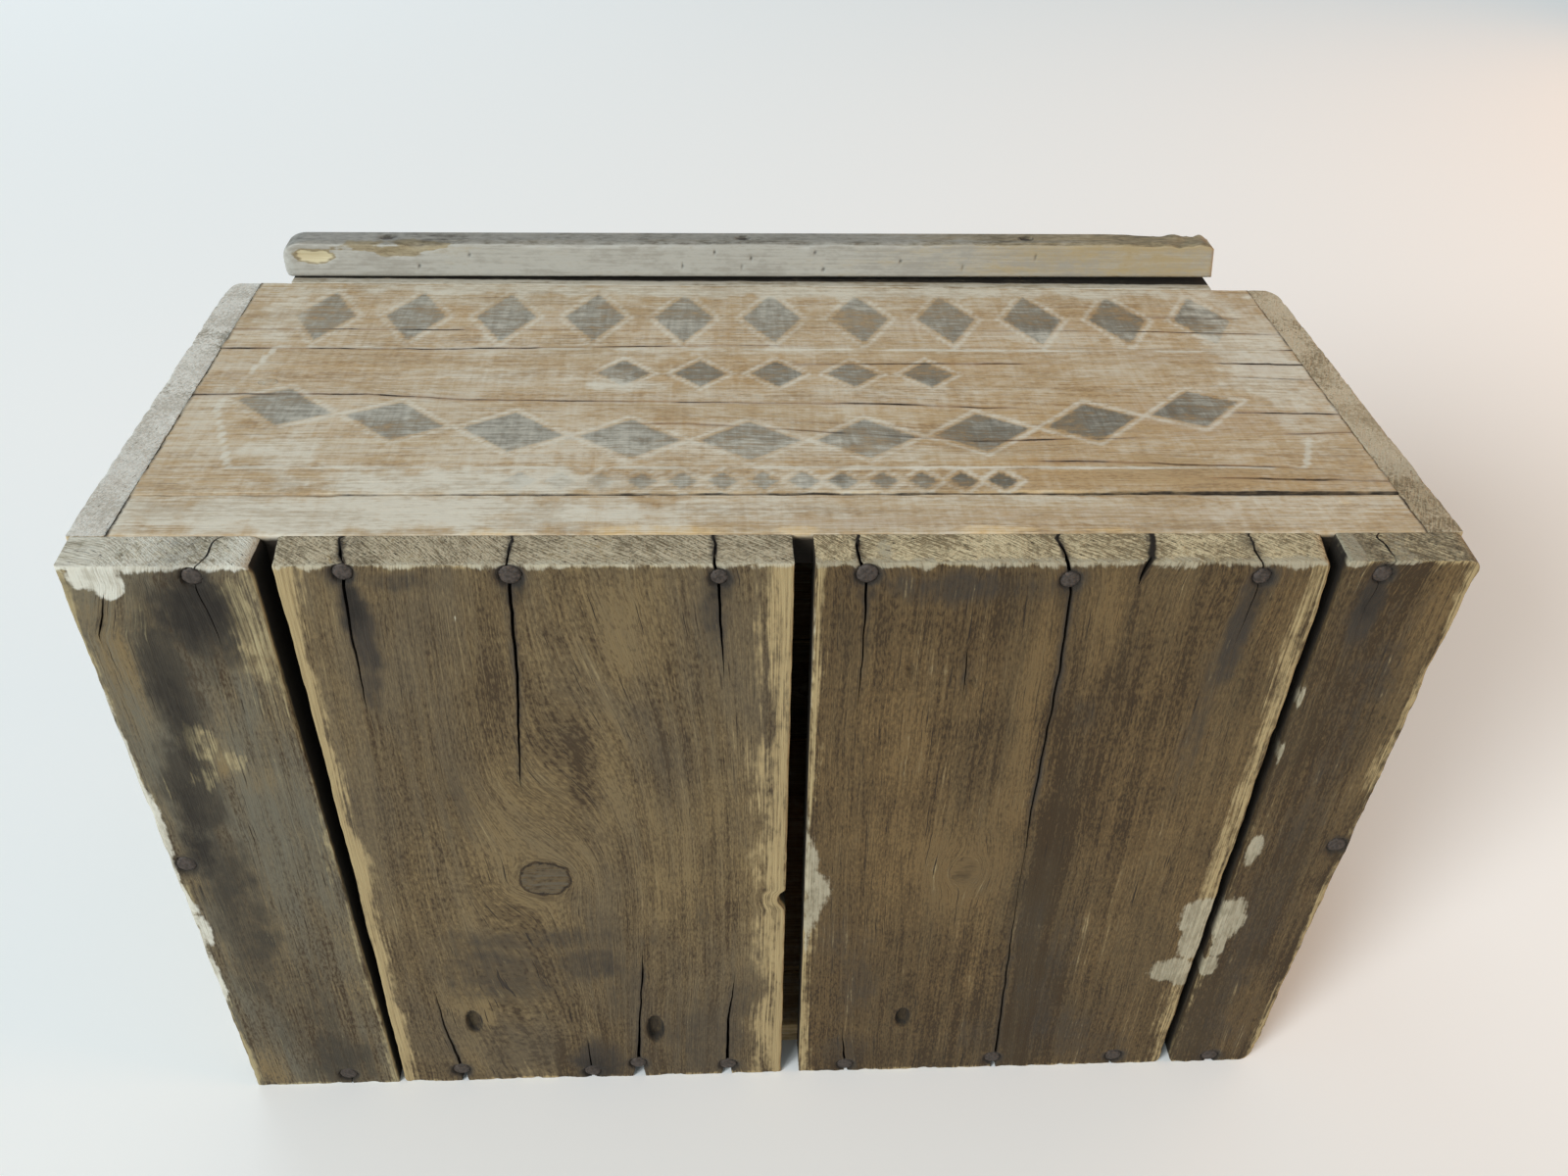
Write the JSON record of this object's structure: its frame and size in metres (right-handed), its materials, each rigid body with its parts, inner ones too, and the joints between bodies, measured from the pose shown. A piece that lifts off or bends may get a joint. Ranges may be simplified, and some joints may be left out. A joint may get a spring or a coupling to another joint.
{
  "type": "wooden crate",
  "caption": "Nailed softwood produce crate lying on its back side, with crosswise bottom planks and a lift-off cleated lid with a grip lip.",
  "frame": {"origin": "under the middle of the crate as it lies on its back side", "axes": "+X along the length, +Y from the bottom planks to the lid, +Z from the back side up to the front side; turn it a quarter about X to stand it on its bottom"},
  "size_m": [0.46, 0.22, 0.3094],
  "materials": {
    "end_board": "rough-sawn pine with worn pale grey paint on its edges",
    "side_board": "bare planed pine, aged tan, with remains of whitish paint",
    "bottom_plank": "weathered and stained pine with worn light edges and splits",
    "lid_board": "aged planed pine",
    "painted_lip": "pine bar under worn pale grey paint",
    "nail": "rusted steel wire nails"
  },
  "bodies": {
    "crate": {"end_board_left": "end_board", "end_board_right": "end_board", "front_wide_board": "side_board", "front_narrow_board": "side_board", "back_wide_board": "side_board", "back_narrow_board": "side_board", "bottom_plank_1": "bottom_plank", "bottom_plank_2": "bottom_plank", "bottom_plank_3": "bottom_plank", "bottom_plank_4": "bottom_plank", "front_bottom_nails": "nail", "back_bottom_nails": "nail", "end_bottom_nails": "nail", "left_end_nails": "nail", "right_end_nails": "nail"},
    "lid": {"lid_front_board": "lid_board", "lid_middle_board": "lid_board", "lid_back_board": "lid_board", "lid_cleat_left": "lid_board", "lid_cleat_right": "lid_board", "lid_cleat_nails": "nail", "lid_lip": "painted_lip", "lid_lip_nails": "nail"}
  },
  "joints": [
    {"name": "lid_lift", "type": "slide", "parent": "crate", "child": "lid", "axis": [0, 1, 0], "range_m": [0, 0.2]}
  ]
}
